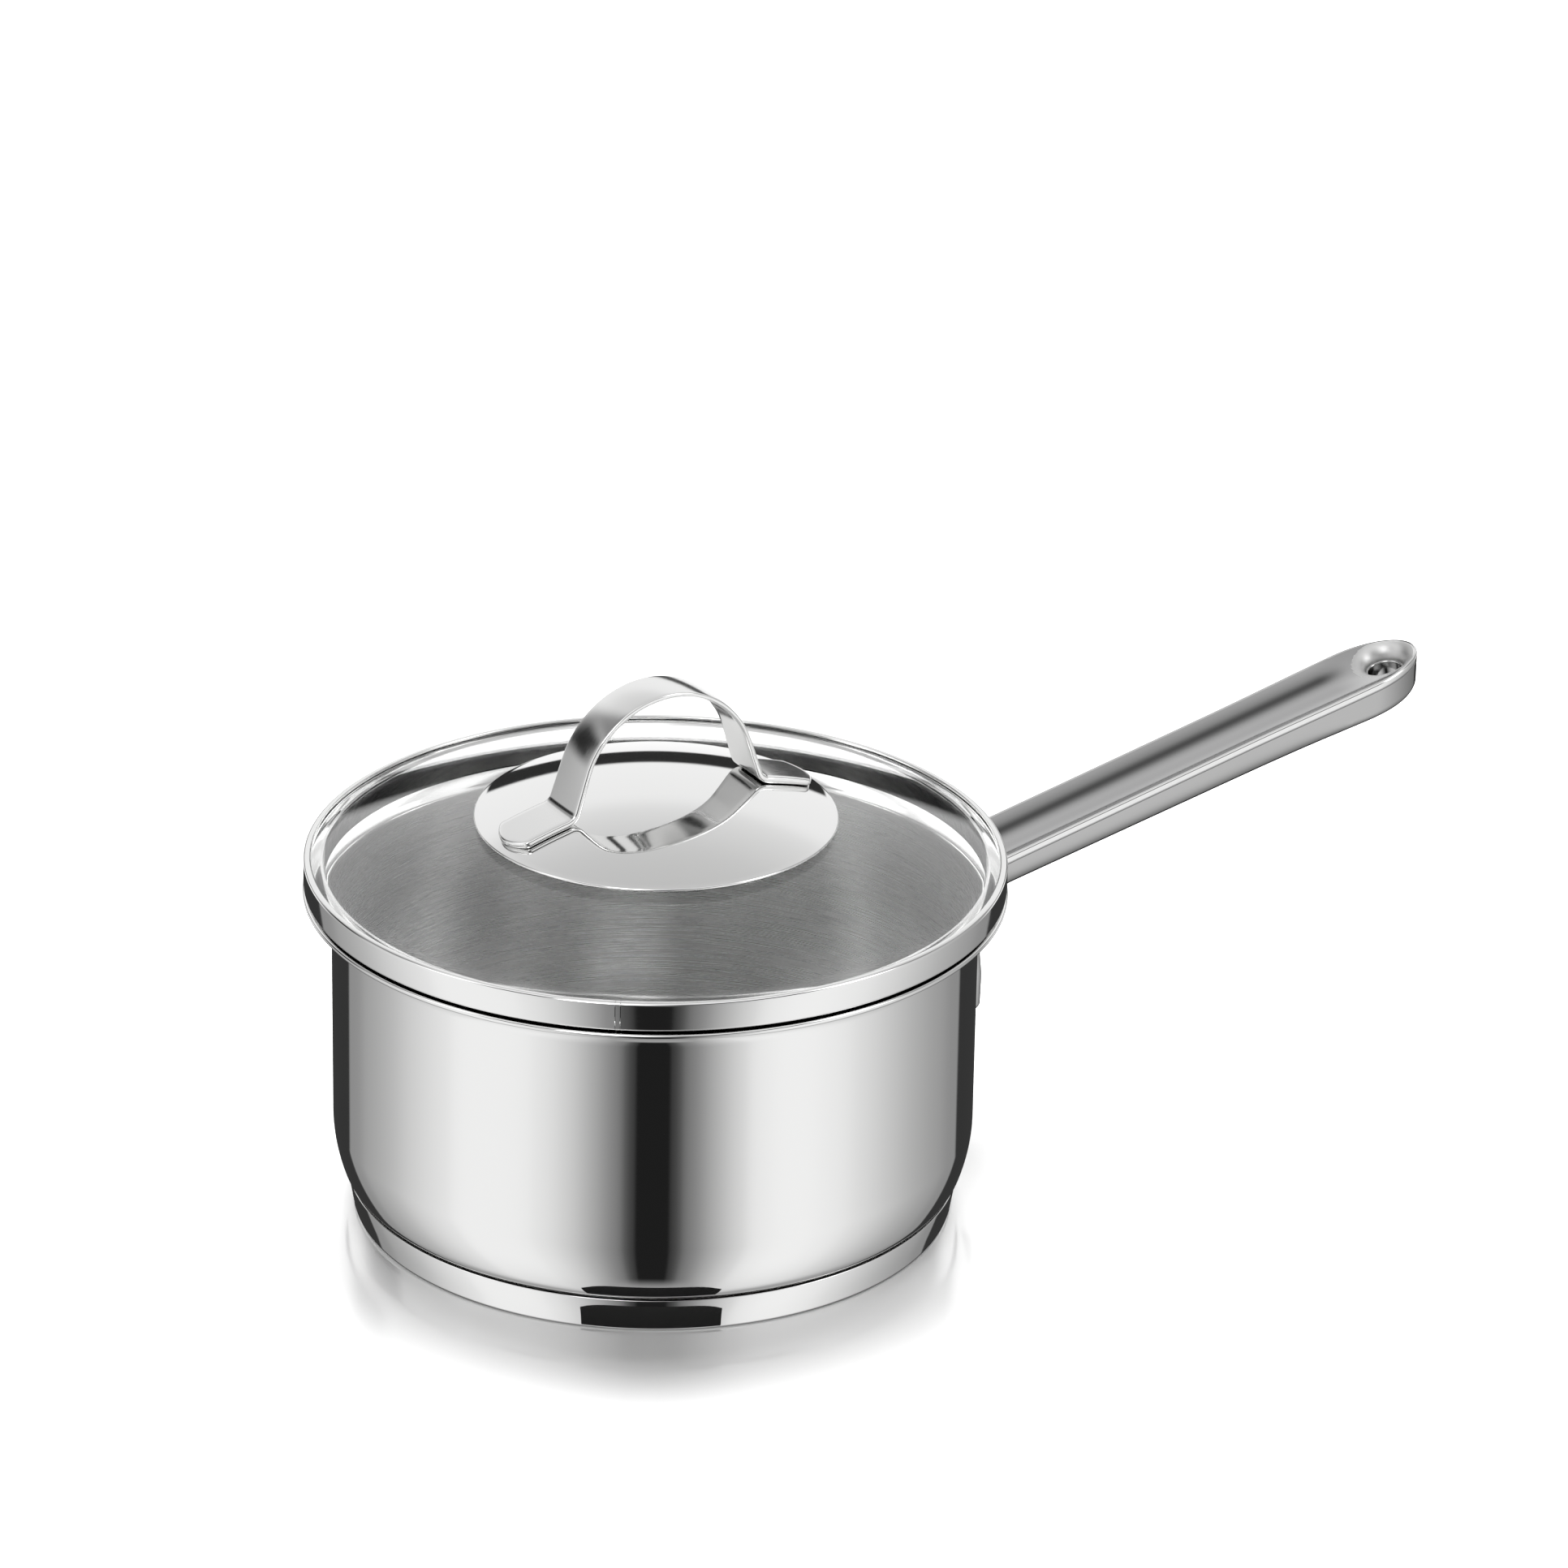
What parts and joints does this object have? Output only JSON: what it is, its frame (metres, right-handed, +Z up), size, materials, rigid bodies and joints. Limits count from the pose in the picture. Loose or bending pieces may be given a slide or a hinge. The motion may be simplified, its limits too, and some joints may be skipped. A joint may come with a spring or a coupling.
{
  "type": "saucepan with glass lid",
  "caption": "Long-handled saucepan with a bellied polished wall, flared rim, capsule base and a domed glass lid carrying a bow handle.",
  "frame": {"origin": "centre of the base's bottom face, on the pot's axis", "axes": "+X along the long handle, away from the pot; +Z up, along the pot's axis"},
  "size_m": [0.318, 0.1764, 0.14],
  "materials": {
    "steel": "mirror polished stainless steel outside, satin inside",
    "aluminium": "plain, sealed inside the base",
    "glass": "clear tempered glass",
    "silicone": "translucent silicone",
    "fastener": "plain stainless steel"
  },
  "bodies": {
    "pot": {"vessel": "steel", "base_cap": "steel", "base_core": "aluminium", "handle_flange": "steel", "handle_upper_shell": "steel", "handle_lower_shell": "steel", "hanging_eye": "fastener"},
    "lid": {"lid_glass": "glass", "lid_rim_band": "steel", "lid_disc": "steel", "lid_bow": "steel", "lid_stud": "fastener", "upper_gasket": "silicone", "lower_gasket": "silicone", "lid_washer": "fastener", "lid_cap_nut": "fastener"}
  },
  "joints": [
    {"name": "lid_lift", "type": "slide", "parent": "pot", "child": "lid", "axis": [0, 0, 1], "range_m": [0, 0.12]}
  ]
}
